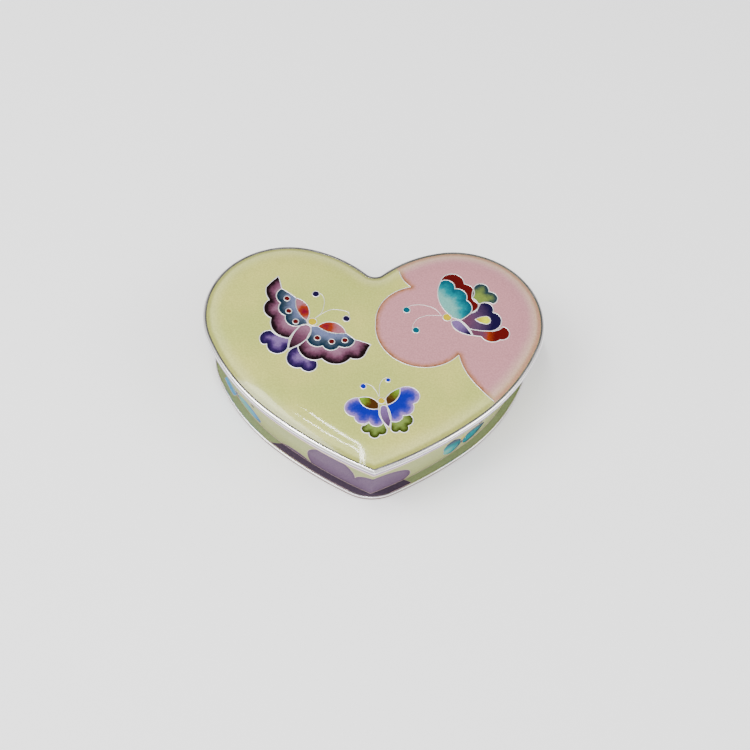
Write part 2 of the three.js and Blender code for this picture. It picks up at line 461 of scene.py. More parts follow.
smallButterfly = [
    {
        "outline": [(-4.0, -14.4, 0.32), (-7.4, -16.5, 0.52), (-5.1, -20.0, 0.67), (-1.4, -21.4, 0.74),
                    (2.2, -21.4, -0.09), (1.1, -19.1, 0.0), (1.0, -17.5, -0.48)],
        "edges": (0, 1, 2, 3),
        "tints": [(0.3, "lilacGrey"), (1.2, "blueLilac"), (2.3, "cobalt")],
    },
    {
        "outline": [(-4.0, -14.4, 0.48), (1.0, -17.5, 0.0), (1.0, -15.8, 0.35)],
        "around": (-4.0, -14.4),
        "tints": [(0.8, "leafGreen"), (3.4, "bark")],
    },
    {
        "outline": [(2.7, -14.4, 0.0), (3.1, -16.3, 0.36), (6.4, -11.1, 0.2)],
        "around": (6.4, -11.1),
        "tints": [(1.0, "leafGreen"), (4.0, "bark")],
    },
    {
        "outline": [(6.4, -11.1, -0.36), (3.1, -16.3, 0.04), (4.1, -21.0, 0.56), (7.1, -19.2, 0.58),
                    (9.7, -15.7, 0.47), (11.1, -12.2, 0.41)],
        "edges": (2, 3, 4, 5),
        "tints": [(0.3, "lilacGrey"), (1.3, "blueLilac"), (2.5, "cobalt")],
    },
    {
        "outline": [(-1.4, -21.4, -0.21), (-3.1, -22.6, 0.76), (-1.4, -24.6, 0.94), (1.3, -25.1, 0.59),
                    (3.1, -23.3, 0.0), (2.2, -21.4, -0.74)],
        "edges": (1, 2, 3),
        "tints": [(0.4, "moss"), (1.6, "mossPale")],
        "spread": 0.7,
    },
    {
        "outline": [(7.1, -19.2, -0.56), (4.1, -21.0, 0.0), (4.0, -22.8, 0.87), (6.2, -23.7, 0.88),
                    (8.4, -22.2, 0.67), (8.8, -19.0, -0.12)],
        "edges": (2, 3, 4),
        "tints": [(0.4, "moss"), (1.6, "mossPale")],
        "spread": 0.7,
    },
    {
        "outline": [(3.6, -22.8, 0.24), (3.0, -16.6, 0.35), (1.5, -16.9, 0.3)],
        "around": (3.6, -22.8),
        "tints": [(1.0, "purpleGrey"), (5.5, "lilac")],
    },
    disc(1.7, -15.1, 0.92, [(0, "yellow")]),
    disc(-2.9, -10.9, 0.76, [(0, "cobalt")]),
    disc(3.4, -8.8, 0.62, [(0, "cobalt")]),
]

sideButterfly = [
    {
        "outline": [(22.3, 10.7, 0.1), (25.0, 13.0, 0.43), (24.1, 17.2, 0.6), (21.1, 20.8, 0.7),
                    (17.5, 23.2, 0.29), (18.7, 13.1, 0.0), (20.1, 11.4, 0.0)],
        "edges": (1, 2, 3),
        "tints": [(0.8, "teal"), (2.6, "turquoise"), (4.2, "aqua")],
    },
    {
        "outline": [(25.0, 13.0, 0.78), (25.6, 17.9, 0.63), (23.7, 22.5, 0.94), (17.5, 23.2, -0.7),
                    (21.1, 20.8, -0.6), (24.1, 17.2, -0.43)],
        "edges": (0, 1, 2),
        "tints": [(0.0, "rust"), (2.0, "brown")],
    },
    {
        "outline": [(26.3, 21.6, 0.08), (25.6, 17.9, 0.23), (27.6, 16.1, -0.31), (31.1, 16.2, 0.88),
                    (30.1, 20.2, 0.94)],
        "edges": (3, 4),
        "tints": [(0.6, "slateGreen"), (2.6, "limePale")],
    },
    {
        "outline": [(22.3, 10.7, -0.05), (24.7, 7.9, 0.06), (29.9, 7.4, 0.37), (33.1, 10.7, 0.42),
                    (30.9, 13.4, 0.8), (27.6, 16.1, -0.23), (25.0, 13.0, 0.05)],
        "around": (22.3, 10.7),
        "tints": [(1.0, "mauve"), (4.5, "purpleGrey"), (8.5, "indigo")],
    },
    {
        "outline": [(25.3, 5.8, 0.1), (22.3, 10.3, 0.36), (19.9, 10.1, 0.24), (21.6, 7.1, 0.1)],
        "around": (25.3, 5.8),
        "tints": [(1.2, "indigo"), (4.5, "lilac")],
    },
    {
        "outline": [(24.7, 7.9, 0.0), (25.5, 5.8, 0.0), (27.6, 5.6, 0.49), (32.5, 4.8, 1.01),
                    (33.3, 9.0, -0.27), (29.9, 7.4, -0.06)],
        "around": (25.0, 6.8),
        "tints": [(3.2, "mauve"), (4.6, "orange"), (6.2, "rust")],
    },
    {
        "outline": [(26.2, 11.0, 0.18), (29.2, 9.6, 0.77), (29.3, 12.1, 0.14)],
        "around": (26.2, 11.0),
        "tints": [(0.8, "yellow"), (2.4, "yellowPale")],
        "lift": 0.04,
    },
    disc(18.9, 11.4, 1.15, [(0, "yellow")]),
    disc(8.3, 13.4, 0.92, [(0, "teal")]),
    disc(10.7, 7.0, 0.92, [(0, "teal")]),
]

antennae = [
    [(-15.5, 9.9), (-13.9, 11.7), (-13.2, 15.0), (-13.6, 17.1), (-14.7, 18.2)],
    [(-15.5, 9.9), (-13.0, 11.9), (-11.1, 12.8), (-8.4, 12.6), (-6.8, 12.0), (-6.6, 10.8)],
    [(1.1, -13.9), (0.4, -12.3), (-0.7, -10.8), (-1.9, -10.1), (-2.6, -10.2)],
    [(1.2, -13.9), (1.2, -10.8), (1.7, -9.2), (2.5, -8.2), (3.1, -8.2)],
    [(17.5, 11.7), (16.1, 13.7), (14.1, 14.8), (11.8, 15.2), (9.5, 14.9), (8.7, 14.4)],
    [(17.5, 11.8), (15.4, 11.9), (13.4, 11.7), (11.1, 10.6), (9.9, 8.6), (9.9, 7.5)],
]

# The pink field's free edge, from the back of the rim to its right side.
fieldEdge = [(6.6, 26.9, 0.2), (9.5, 21.0, 0.37), (0.2, 8.9, 0.43), (11.8, -4.6, 0.24), (21.6, -0.4, 0.22),
             (30.3, -13.2, 0.0)]


# Pictures on the wall, as (distance along the plan from the tip, height, bulge).
# The clouds and butterflies in front were placed from the photo.

wall = {"top": 17.05, "crease": 1.6, "creaseOffset": -3.7, "coveOffset": -2.05, "coveHeight": 1.1}

wallCells = [
    {
        "outline": [(-29.9, 1.62, 0), (10.4, 1.62, 0.25), (12.0, 5.5, 0.38), (2.0, 15.1, 0.36),
                    (-4.9, 9.4, 0.19), (-7.9, 16.9, 0), (-16.0, 16.9, 0.27), (-19.3, 1.7, 0.43)],
        "edges": (1, 2, 3, 4, 6, 7),
        "tints": [(0.2, "cloudPurpleEdge"), (1.5, "cloudPurple")],
    },
    # The cove under the purple cloud, in a darker copy of the cloud's purple: painted shade.
    {
        "outline": [(-33, 0.06, 0), (8.0, 0.06, 0.1), (10.4, 1.54, 0), (-29.9, 1.54, -0.1)],
        "tints": [(0, "covePurpleShaded")],
    },
    {
        "outline": [(-50.0, 2.2, 0.2), (-48.5, 7.5, 0.3), (-52.5, 11.0, 0.4), (-57.0, 7.5, 0.3),
                    (-55.0, 2.4, 0.0)],
        "edges": (2, 3),
        "tints": [(0.3, "skyBlueDeep"), (2.0, "skyBlue"), (4.5, "aqua")],
    },
    {
        "outline": [(-48.6, 2.6, 0.1), (-38.4, 3.4, 0.4), (-37.8, 8.0, 0.3), (-41.8, 11.5, 0.3),
                    (-46.3, 8.5, 0.2)],
        "edges": (1, 2),
        "tints": [(0.3, "skyBlueDeep"), (2.0, "skyBlue"), (4.5, "aqua")],
    },
    {
        "outline": [(-57.5, 0.85, 0.0), (-51.2, 0.85, 0.1), (-50.6, 1.55, 0.0), (-57.5, 1.55, 0.1)],
        "tints": [(0, "skyBlue")],
    },
    {"outline": [(-50.2, 2.0, 0.3), (-46.6, 9.0, 0.3)], "tints": [(0, "violet"), (0.8, "lilac")]},
    disc(-37.8, 14.7, 0.8, [(0, "indigo")]),
    {
        "outline": [(22.3, 9.0, 0.3), (26.5, 2.5, 0.4), (28.6, 7.5, 0), (27.2, 12.0, 0.1),
                    (24.0, 15.8, 0.5), (21.8, 13.5, 0.2)],
        "around": (22.0, 6.0),
        "tints": [(2.5, "aqua"), (5.0, "turquoise"), (8.0, "slate")],
    },
    {
        "outline": [(29.2, 7.5, 0.2), (32.0, 3.2, 0.5), (35.8, 8.5, 0.4), (32.8, 14.5, 0.4),
                    (29.0, 13.5, 0.2)],
        "edges": (1, 2, 3),
        "tints": [(0.8, "slate"), (3.0, "turquoise")],
    },
    {"outline": [(27.4, 4.4, 0.25), (29.2, 10.6, 0.25)], "tints": [(0, "indigo"), (0.8, "violet")]},
    disc(27.8, 12.4, 0.9, [(0, "yellow")]),
    disc(32.7, 15.7, 0.7, [(0, "indigo")]),
]

# Plain clouds keep the picture going round the back. A lobe is (share of the reach, height, bulge).
backClouds = {"starts": [(66, 20), (104, 15)], "bottom": 1.62,
              "lobes": [(0.8, 8.5, 0.5), (0.45, 11.5, 0.5), (0.1, 7.0, 0.45)]}

for side in (-1, 1):
    for start, reach in backClouds["starts"]:
        chain = [(start, backClouds["bottom"], 0), (start + reach, backClouds["bottom"], 0.45)]
        chain += [(start + reach * share, height, bulge) for share, height, bulge in backClouds["lobes"]]
        if side < 0:
            bulges = [bulge for x, h, bulge in chain]
            mirrored = [(-x, h) for x, h, bulge in chain][::-1]
            chain = [(x, h, bulge) for (x, h), bulge in zip(mirrored, bulges[-2::-1] + bulges[-1:])]
        wallCells.append({
            "outline": chain,
            "tints": [(0.2, "cloudPurpleEdge"), (1.5, "cloudPurple")],
        })

# Feelers of the two butterflies on the wall.
wallFeelers = [
    [(-46.2, 10.6), (-43.0, 14.4), (-39.6, 16.0), (-38.2, 15.3)],
    [(28.4, 13.2), (29.6, 15.6), (31.8, 16.3), (32.6, 16.1)],
]


def stationLengths(line):
    lengths = [0.0]
    for (x0, y0), (x1, y1) in zip(line, line[1:]):
        lengths.append(lengths[-1] + math.hypot(x1 - x0, y1 - y0))
    return lengths


planLine = outline(0, heart["sharpTip"])
outerLine = outline(1, heart["sharpTip"])
creaseLine = outline(wall["creaseOffset"], heart["sharpTip"])
coveLine = outline(wall["coveOffset"], heart["footTip"])
halfCount = len(planLine) // 2 + 1
halfLengths = stationLengths(planLine[:halfCount])


# A point of the wall or the cove. Heights from the crease down to 0 run across the cove.
def wallPoint(along, height, lift):
    distance = min(abs(along), halfLengths[-1])
    station = next(i for i in range(1, halfCount) if halfLengths[i] >= distance - 1e-6)
    share = (distance - halfLengths[station - 1]) / (halfLengths[station] - halfLengths[station - 1])
    side = -1 if along < 0 else 1

    def pick(line):
        (x0, y0), (x1, y1) = line[station - 1], line[station]
        return Vector((side * (x0 + (x1 - x0) * share), y0 + (y1 - y0) * share))

    out = (pick(outerLine) - pick(planLine)).normalized()
    if height >= wall["crease"]:
        part = (height - wall["crease"]) / (wall["top"] - wall["crease"])
        place = pick(creaseLine).lerp(pick(planLine), part) + out * lift
        return (place.x, place.y, height)
    part = (wall["crease"] - height) / wall["crease"]
    place = pick(creaseLine).lerp(pick(coveLine), part) + out * lift * 0.3
    return (place.x, place.y, wall["crease"] + (wall["coveHeight"] - wall["crease"]) * part + lift)


def lidPoint(x, y, lift):
    return (x, y, domeHeight(x, y) + lift)


# Materials.

# A socket that can be added to, multiplied and so on.
class Value:
    def __init__(self, recipe, socket):
        self.recipe = recipe
        self.socket = socket

    def work(self, operation, first, second):
        made = self.recipe.node("Math", {"operation": operation}, {0: first, 1: second})
        return Value(self.recipe, made.outputs[0])

    def __add__(self, other):
        return self.work("ADD", self, other)

    def __radd__(self, other):
        return self.work("ADD", other, self)

    def __sub__(self, other):
        return self.work("SUBTRACT", self, other)

    def __rsub__(self, other):
        return self.work("SUBTRACT", other, self)

    def __mul__(self, other):
        return self.work("MULTIPLY", self, other)

    def __rmul__(self, other):
        return self.work("MULTIPLY", other, self)

    def __gt__(self, other):
        return self.work("GREATER_THAN", self, other)

    def __lt__(self, other):
        return self.work("LESS_THAN", self, other)


class Recipe:
    def __init__(self, name):
        self.material = bpy.data.materials.new(name)
        self.material.use_nodes = True
        self.tree = self.material.node_tree
        self.tree.nodes.clear()
        self.place = self.node("TexCoord", {}, {}).outputs["Object"]

    def node(self, kind, settings, inputs):
        made = self.tree.nodes.new("ShaderNode" + kind)
        for key, value in settings.items():
            setattr(made, key, value)
        for key, value in inputs.items():
            if isinstance(value, Value):
                value = value.socket
            if isinstance(value, bpy.types.NodeSocket):
                self.tree.links.new(value, made.inputs[key])
            else:
                made.inputs[key].default_value = value
        return made

    def noise(self, scale, detail=2.0, stretch=None):
        where = self.place
        if stretch:
            where = self.node("Mapping", {}, {"Vector": where, "Scale": stretch}).outputs[0]
        made = self.node("TexNoise", {}, {"Vector": where, "Scale": scale, "Detail": detail})
        return Value(self, made.outputs[0])

    def fade(self, value, low, high):
        settings = {"interpolation_type": "SMOOTHSTEP"}
        made = self.node("MapRange", settings, {"Value": value, "From Min": low, "From Max": high})
        return Value(self, made.outputs[0])

    def mix(self, factor, first, second, kind="MIX"):
        first = (*linear(first), 1) if isinstance(first, tuple) else first
        second = (*linear(second), 1) if isinstance(second, tuple) else second
        settings = {"data_type": "RGBA", "blend_type": kind}
        made = self.node("Mix", settings, {0: factor, 6: first, 7: second})
        return Value(self, made.outputs[2])

    def attribute(self, name, output):
        return Value(self, self.node("Attribute", {"attribute_name": name}, {}).outputs[output])

    def height(self):
        split = self.node("SeparateXYZ", {}, {0: self.place})
        return Value(self, split.outputs[2])

    def surface(self, inputs):
        shader = self.node("BsdfPrincipled", {}, inputs)
        self.node("OutputMaterial", {}, {0: shader.outputs[0]})
        return self.material


glaze = {
    "grain": 2300.0,
    "grainDetail": 2.5,
    "grainDepth": 0.20,
    "grainFrom": 0.3,
    "grainTo": 0.7,
    "patchScale": 150.0,
    "patchDepth": 0.06,
    "wave": 0.00007,
    "waveScale": 95.0,
    "peelScale": 700.0,
    "peelDepth": 0.06,
    "roughness": 0.05,
    "roughnessScale": 60.0,
    "roughnessDepth": 0.08,
    "index": 1.52,
    "wallIndex": 1.02,
}


# The sugary grain of ground enamel under a smooth, slightly wavy glaze.
def enamelSurface(recipe, colour, index=glaze["index"]):
    grain = recipe.noise(glaze["grain"], glaze["grainDetail"])
    patch = recipe.noise(glaze["patchScale"])
    even = recipe.fade(grain, glaze["grainFrom"], glaze["grainTo"])
    shade = 1.0 - glaze["grainDepth"] / 2 + glaze["grainDepth"] * even
    shade = shade * (1.0 - glaze["patchDepth"] / 2 + glaze["patchDepth"] * patch)
    colour = recipe.mix(1.0, colour, shade, "MULTIPLY")
    wave = recipe.noise(glaze["waveScale"])
    peel = recipe.noise(glaze["peelScale"], 1.0)
    bump = recipe.node("Bump", {}, {
        "Strength": 1.0,
        "Distance": glaze["wave"],
        "Height": wave + glaze["peelDepth"] * peel,
    })
    return recipe.surface({
        "Base Color": colour,
        "Roughness": glaze["roughness"] + glaze["roughnessDepth"] * recipe.noise(glaze["roughnessScale"]),
        "IOR": index,
        "Normal": bump.outputs[0],
    })


groundEnamel = {
    "green": (0.666, 0.69, 0.353),
    "greenWarm": (0.73, 0.721, 0.387),
    "olive": (0.499, 0.507, 0.174),
    # Painted sheen: the paler colour of the band beside the rim.
    "sheen": (0.815, 0.816, 0.585),
    "speck": (0.309, 0.264, 0.145),
    "wallGreen": (0.616, 0.636, 0.438),
    # Painted shade: the cove's green is the wall's green made darker.
    "coveGreenShaded": (0.48, 0.523, 0.368),
}


ground = {
    "blotchScale": 45.0,
    "blotchFrom": 0.35,
    "blotchTo": 0.7,
    "speckScale": 75.0,
    "speckRarity": 0.72,
    "speckCore": 0.007,
    "speckEdge": 0.014,
    "speckStrength": 0.6,
    "edgeWaver": 0.5,
    "edgeScale": 220.0,
    # Where the painted sheen beside the rim fades out, and how strong it is.
    "sheenFrom": 0.8,
    "sheenTo": 4.2,
    "sheenStrength": 0.30,
    "lineFrom": 0.5,
    "lineTo": 1.5,
    "lineStrength": 0.7,
}


def lidGround(recipe):
    blotch = recipe.fade(recipe.noise(ground["blotchScale"], 3.0), ground["blotchFrom"], ground["blotchTo"])
    colour = recipe.mix(blotch, groundEnamel["green"], groundEnamel["greenWarm"])
    flat = {"voronoi_dimensions": "2D"}
    spots = recipe.node("TexVoronoi", flat, {"Vector": recipe.place, "Scale": ground["speckScale"]})
    tone = recipe.node("SeparateXYZ", {}, {0: spots.outputs[1]})
    chosen = Value(recipe, tone.outputs[0]) > ground["speckRarity"]
    away = recipe.fade(Value(recipe, spots.outputs[0]), ground["speckCore"], ground["speckEdge"])
    return recipe.mix(chosen * (1 - away) * ground["speckStrength"], colour, groundEnamel["speck"])


# A paler band beside the rim, a painted sheen where the shoulder catches the light, and the thin line of
# another colour at it.
def rimSheenAndLine(recipe, colour, line):
    uneven = ground["edgeWaver"] * (recipe.noise(ground["edgeScale"]) - 0.5)
    inward = recipe.attribute("inward", 2) + uneven
    sheen = (1 - recipe.fade(inward, ground["sheenFrom"], ground["sheenTo"])) * ground["sheenStrength"]
    colour = recipe.mix(sheen, colour, groundEnamel["sheen"])
    atRim = 1 - recipe.fade(inward, ground["lineFrom"], ground["lineTo"])
    return recipe.mix(atRim * ground["lineStrength"], colour, line)


def makeMaterials():
    lid = Recipe("lidEnamel")
    lidMaterial = enamelSurface(lid, rimSheenAndLine(lid, lidGround(lid), groundEnamel["olive"]))
    field = Recipe("fieldEnamel")
    fieldMaterial = enamelSurface(field, rimSheenAndLine(field, field.attribute("tint", 0), enamels["pinkStain"]))
    cell = Recipe("cellEnamel")
    cellMaterial = enamelSurface(cell, cell.attribute("tint", 0))
    base = Recipe("wallEnamel")
    # Below the crease the cove gets a darker copy of the wall's green, as painted shade.
    crease = wall["crease"] * mm
    isWall = base.fade(base.height(), crease - 0.05 * mm, crease + 0.05 * mm)
    plain = base.mix(isWall, groundEnamel["coveGreenShaded"], groundEnamel["wallGreen"])
    baseMaterial = enamelSurface(base, plain, glaze["wallIndex"])
    cloud = Recipe("wallCellEnamel")
    cloudMaterial = enamelSurface(cloud, cloud.attribute("tint", 0), glaze["wallIndex"])
    return lidMaterial, fieldMaterial, cellMaterial, baseMaterial, cloudMaterial


# Colours are sRGB, and heights over the table are in metres, where the rim's tarnish, the lip's cream and the
# foot's painted shade fade in.
silver = {
    "bright": (0.97, 0.96, 0.955),
    "dull": (0.82, 0.80, 0.81),
    "tarnish": (0.48, 0.38, 0.59),
    "tarnishHeights": (0.0200, 0.0203),
    "cream": (0.76, 0.66, 0.58),
    "creamHeights": (0.0150, 0.0165),
    "creamStrength": 0.8,
    # Painted shade: the foot's lowest edge is brown where it meets the table.
    "footShadeBrown": (0.40, 0.26, 0.24),
    "footHeights": (0.00075, 0.00095),
    "footStrength": 0.9,
    "wallLine": (0.70, 0.60, 0.56),
    "wallLineStrength": 0.9,
    "stainAndShadeScale": 300.0,
    "rimWaver": 0.00008,
    "footWaver": 0.0001,
    "cloudScale": 160.0,
    "cloudFade": (0.35, 0.75),
    "cloudRoughness": 0.12,
    "brushScale": 900.0,
    "brushStretch": (1.0, 1.0, 6.0),
    "brushRoughness": 0.06,
    "brushStrength": 0.08,
    "brushDepth": 0.00002,
}


# The rim has a violet tarnish low down.
def lidTarnish(recipe, colour):
    height = recipe.height() + silver["rimWaver"] * recipe.noise(silver["stainAndShadeScale"])
    return recipe.mix(1 - recipe.fade(height, *silver["tarnishHeights"]), colour, silver["tarnish"])


# The base's lip is creamy, and its foot is painted brown at the table as shade where it meets the floor.
def baseLipTintAndFootShade(recipe, colour):
    height = recipe.height()
    lip = recipe.fade(height, *silver["creamHeights"])
    colour = recipe.mix(lip * silver["creamStrength"], colour, silver["cream"])
    # Painted shade at the foot, with an uneven top edge.
    uneven = height + silver["footWaver"] * recipe.noise(silver["stainAndShadeScale"])
    foot = 1 - recipe.fade(uneven, *silver["footHeights"])
    return recipe.mix(foot * silver["footStrength"], colour, silver["footShadeBrown"])


def lineStain(recipe, colour):
    return recipe.mix(silver["wallLineStrength"], colour, silver["wallLine"])


def makeSilver(name, dullness, roughness, tarnish=None):
    recipe = Recipe(name)
    cloud = recipe.fade(recipe.noise(silver["cloudScale"], 3.0), *silver["cloudFade"])
    brushed = recipe.noise(silver["brushScale"], 2.0, silver["brushStretch"])
    colour = recipe.mix(cloud * dullness, silver["bright"], silver["dull"])
    if tarnish:
        colour = tarnish(recipe, colour)
    bump = recipe.node("Bump", {}, {
        "Strength": silver["brushStrength"],
        "Distance": silver["brushDepth"],
        "Height": brushed,
    })
    return recipe.surface({
        "Base Color": colour,
        "Metallic": 1.0,
        "Roughness": roughness + silver["cloudRoughness"] * cloud + silver["brushRoughness"] * brushed,
        "Normal": bump.outputs[0],
    })


lidEnamel, fieldEnamel, cellEnamel, wallEnamel, wallCellEnamel = makeMaterials()
lidMetal = makeSilver("lidMetal", 0.5, 0.16, lidTarnish)
baseMetal = makeSilver("baseMetal", 0.5, 0.18, baseLipTintAndFootShade)
wireSilver = makeSilver("wireSilver", 0.2, 0.42)
wallWire = makeSilver("wallWire", 0.2, 0.5, lineStain)


def dress(piece, material, replaced=None):
    piece.data.materials.clear()
    piece.data.materials.append(material)
    if replaced:
        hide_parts(replaced)
    print(piece.name, len(piece.data.polygons))


# The lid.

lid = {
    "rimWidth": 1.12, "rimTop": 20.92, "seat": 18.9, "rimSteps": 14, "rimTurn": 0.35,
    "ledge": 19.9, "ledgeWidth": 1.0, "collar": -2.1, "collarBottom": 16.2, "collarThickness": 0.8,
    "bedDepth": 0.9, "plateDepth": 1.8, "enamelDepth": 0.8, "gap": 0.05, "rimLip": 0.08, "seatReach": 0.2,
    "collarTop": 18.0, "bedReaches": [13.0, 8.0, 6.1, 4.3, 2.8, 1.6],
    "plateReaches": [3.2, 4.3, 6.1, 8.0, 13.0],
    "backReaches": [1.0, 2.0, 4.0, 6.0, 8.0, 13.0], "topReach": 13.0, "topStep": 0.5, "topSteps": 26,
    "enamelFoot": 0.85, "sharpOver": 50,
}


def lowered(depth):
    return lambda x, y: domeHeight(x, y) - depth


def makeLidSilver():
    tip = heart["sharpTip"]
    levels = [(-reach, lowered(lid["bedDepth"]), tip) for reach in lid["bedReaches"] + [lid["ledgeWidth"]]]
    levels += [(-lid["ledgeWidth"], lid["ledge"], tip), (0, lid["ledge"], tip)]
    levels += [(0, dome["edge"] + lid["rimLip"], tip)]
    middle = (lid["rimTop"] + lid["seat"]) / 2
    for i in range(lid["rimSteps"] + 1):
        angle = (math.pi / 2 - lid["rimTurn"]) * (1 - 2 * i / lid["rimSteps"])
        height = middle + (lid["rimTop"] - middle) * math.sin(angle)
        levels.append((lid["rimWidth"] * math.cos(angle), height, tip))
    inside = lid["collar"] - lid["collarThickness"]
    levels += [(lid["seatReach"], lid["seat"], tip)]
    levels += soften([
        (lid["collar"], lid["seat"], tip, 0),
        (lid["collar"], lid["collarBottom"], tip, 0.25),
        (inside, lid["collarBottom"], tip, 0.15),
        (inside, lid["collarTop"], tip, 0),
    ])
    levels += [(-reach, lowered(lid["plateDepth"]), tip) for reach in lid["plateReaches"]]
    piece = finishMesh("lidSilver", sweepHeart(levels))
    sharpen(piece, lid["sharpOver"])
    dress(piece, lidMetal, "lid_shell")


def makeLidPanel():
    tip = heart["sharpTip"]
    reaches = [lid["topReach"] - lid["topStep"] * i for i in range(lid["topSteps"])] + [lid["gap"]]
    levels = [(-reach, lowered(0), tip) for reach in reaches]
    foot = lid["ledge"] + lid["gap"]
    levels += [(-lid["gap"], foot, tip), (-lid["enamelFoot"], foot, tip)]
    levels += [(-reach, lowered(lid["enamelDepth"]), tip) for reach in lid["backReaches"]]
    bm = sweepHeart(levels)
    inward = bm.verts.layers.float.new("inward")
    for vert in bm.verts:
        vert[inward] = rimDistance(vert.co.x, vert.co.y)
    piece = finishMesh("lidPanel", bm)
    sharpen(piece, lid["sharpOver"])
    dress(piece, lidEnamel, "lid_enamel")


# Grid lines over the pictures as (from, to, step), and the steps along their outlines.
pictures = {
    "fieldGrid": (-44, 44, 0.6),
    "fieldStep": 0.6,
    "cellGrid": (-36, 36, 0.35),
    "wallGrid": (0, 17, 0.7),
    "wallStep": 0.5,
}


def gridLines(low, high, step):
    return [low + step * i for i in range(int((high - low) / step) + 1)]


# The pink field is its free edge and the stretch of the lid's edge between the two ends.
def fieldOutline():
    border = outline(-lid["gap"] * 2, heart["sharpTip"])[: len(planLine) // 2]
    free = arcChain(fieldEdge, 0.5, closed=False)[0]
    first = min(range(len(border)), key=lambda i: math.dist(border[i], free[-1]))
    last = min(range(len(border)), key=lambda i: math.dist(border[i], free[0]))
    free[0], free[-1] = border[last], border[first]
    return free + border[first + 1:last]


def makeLidPicture():
    field = {
        "outline": [(x, y, 0) for x, y in fieldOutline()],
        "tints": [(0.15, "stain"), (0.6, "pinkStain"), (1.5, "pink")],
        "lift": 0.012,
        "spread": 0.7,
    }
    lines = gridLines(*pictures["fieldGrid"])
    bm = fillCells("lidField", [field], lidPoint, lines, lines, step=pictures["fieldStep"])
    dress(finishMesh("lidField", bm), fieldEnamel)
    lines = gridLines(*pictures["cellGrid"])
    cells = largeButterfly + smallButterfly + sideButterfly
    bm = fillCells("lidPicture", cells, lidPoint, lines, lines)
    dress(finishMesh("lidPicture", bm), cellEnamel)


# Radii of the wires, how far each stands out of the enamel, and the step between their points.
wires = {
    "outline": 0.17,
    "outlineProud": 0.07,
    "fine": 0.10,
    "fineProud": 0.05,
    "wall": 0.10,
    "wallProud": 0.03,
    "step": 0.35,
}


# Every arc of the cells once, so that neighbours share their wire.
def cellLines(cells, place, radius, proud, step):
    lines, seen = [], set()
    for cell in cells:
        chain = cell["outline"]
        for index, (x0, y0, bulge) in enumerate(chain):
            x1, y1 = chain[(index + 1) % len(chain)][:2]
            key = (min((x0, y0), (x1, y1)), max((x0, y0), (x1, y1)), round(abs(bulge), 1))
            if key in seen and len(chain) > 2:
                continue
            seen.add(key)
            path = arcChain([(x0, y0, bulge), (x1, y1, 0)], step, closed=False)[0]
            lines.append(([place(x, y, proud - radius) for x, y in path], False, radius))
    return lines


# A smooth line through a few points.
def throughPoints(points, step):
    path = []
    for i in range(len(points) - 1):
        a, b = Vector(points[max(i - 1, 0)]), Vector(points[i])
        c, d = Vector(points[i + 1]), Vector(points[min(i + 2, len(points) - 1)])
        count = max(2, round((c - b).length / step))
        for k in range(count):
            t = k / count
            place = 0.5 * ((2 * b) + (c - a) * t + (2 * a - 5 * b + 4 * c - d) * t * t
                           + (3 * b - a - 3 * c + d) * t * t * t)
            path.append((place.x, place.y))
    path.append(tuple(points[-1]))
    return path


def makeLidWires():
    cells = largeButterfly + smallButterfly + sideButterfly
    lines = cellLines(cells, lidPoint, wires["outline"], wires["outlineProud"], wires["step"])
    sunk = wires["fineProud"] - wires["fine"]
    for points in antennae:
        path = throughPoints(points, wires["step"])
        lines.append(([lidPoint(x, y, sunk) for x, y in path], False, wires["fine"]))
    path = arcChain(fieldEdge, 0.5, closed=False)[0]
    lines.append(([lidPoint(x, y, sunk) for x, y in path], False, wires["fine"] * 1.2))
    dress(layWires("lidWires", lines), wireSilver)


# The base. Offsets from the plan are negative inwards, and heights are over the table.

base = {
    "middleReach": -9, "floorTop": 2.0, "floorUnder": 0.8, "floorEdge": -5.3, "floorRound": 1.1,
    "insideWall": -1.8, "insideFrom": 15.6, "insideRound": 0.8,
    "lipOut": 0.1, "lipTop": 18.9, "lipBottom": 17.1, "lipRound": 0.12, "edgeRound": 0.2,
    "wallTop": 17.0, "behindTop": -0.6, "behindFoot": -4.3,
    "shelf": 0.75, "shelfEdge": -2.0, "shelfLip": 1.25, "shelfRound": 0.1,
    "footOut": -1.6, "footTop": 1.2, "footIn": -5.6, "footRound": 0.3,
    "coatUnder": 0.8, "coatBack": -4.2, "coatTopBack": -0.5, "sharpOver": 50, "coatSharpOver": 30,
}


def makeBaseSilver():
    tip, foot = heart["sharpTip"], heart["footTip"]
    rounding = base["edgeRound"]
    levels = soften([
        (base["middleReach"], base["floorTop"], tip, 0),
        (base["floorEdge"], base["floorTop"], tip, base["floorRound"]),
        (base["insideWall"], base["insideFrom"], tip, base["insideRound"]),
        (base["insideWall"], base["lipTop"], tip, rounding),
        (base["lipOut"], base["lipTop"], tip, rounding),
        (base["lipOut"], base["lipBottom"], tip, base["lipRound"]),
        (-base["lipOut"], base["wallTop"], tip, 0),
        (base["behindTop"], base["wallTop"], tip, 0),
        (base["behindFoot"], wall["crease"], tip, 0),
        (base["behindFoot"], base["shelf"], tip, 0),
        (base["shelfEdge"], base["shelf"], foot, 0),
        (base["shelfEdge"], base["shelfLip"], foot, base["shelfRound"]),
        (base["footOut"], base["footTop"], foot, rounding),
        (base["footOut"], 0, foot, base["footRound"]),
        (base["footIn"], 0, tip, rounding),
        (base["footIn"], base["floorUnder"], tip, rounding),
        (base["middleReach"], base["floorUnder"], tip, 0),
    ])
    piece = finishMesh("baseSilver", sweepHeart(levels))
    sharpen(piece, base["sharpOver"])
    dress(piece, baseMetal, "base_tray")


